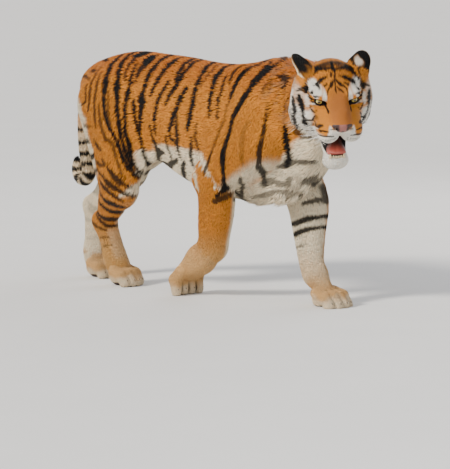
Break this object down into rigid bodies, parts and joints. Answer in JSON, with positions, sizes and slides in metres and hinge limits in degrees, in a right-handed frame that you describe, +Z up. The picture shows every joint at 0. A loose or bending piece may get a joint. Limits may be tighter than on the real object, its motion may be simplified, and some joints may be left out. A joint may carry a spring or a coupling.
{
  "type": "tiger",
  "caption": "Still life-size model of a walking adult tiger with striped fur, head turned to the viewer's side and mouth half open, resting on its four paws.",
  "frame": {"origin": "middle of the bounding box in plan, on the ground under the paws", "axes": "+X the way the tiger walks, from tail to head; +Y its left side; +Z up"},
  "size_m": [1.7616, 0.5128, 1.0152],
  "materials": {
    "coat_orange": "matte fur, orange with dark stripes, paling to cream below",
    "coat_pale": "matte fur, cream white with dark bands",
    "coat_dark": "matte black fur",
    "nose_leather": "fine-grained damp skin, pink",
    "tongue": "wet, finely rough, pink red",
    "tooth": "smooth ivory",
    "eye": "clear wet gloss over a yellow-green iris"
  },
  "bodies": {
    "root": {"rump": "coat_orange", "barrel": "coat_orange", "chest": "coat_orange", "neck": "coat_orange", "shoulder_right": "coat_orange", "forearm_right": "coat_orange", "forepaw_right": "coat_orange", "thigh_right": "coat_orange", "shank_right": "coat_orange", "metatarsus_right": "coat_orange", "hindpaw_right": "coat_orange", "shoulder_left": "coat_orange", "forearm_left": "coat_orange", "forepaw_left": "coat_orange", "thigh_left": "coat_orange", "shank_left": "coat_orange", "metatarsus_left": "coat_orange", "hindpaw_left": "coat_orange", "tail_upper": "coat_orange", "tail_lower": "coat_pale", "tail_tip": "coat_dark", "head": "coat_orange", "lower_jaw": "coat_pale", "tongue": "tongue", "teeth_lower": "tooth", "nose": "nose_leather", "ear_right": "coat_dark", "ear_left": "coat_dark", "eye_right": "eye", "eye_left": "eye"}
  },
  "joints": []
}
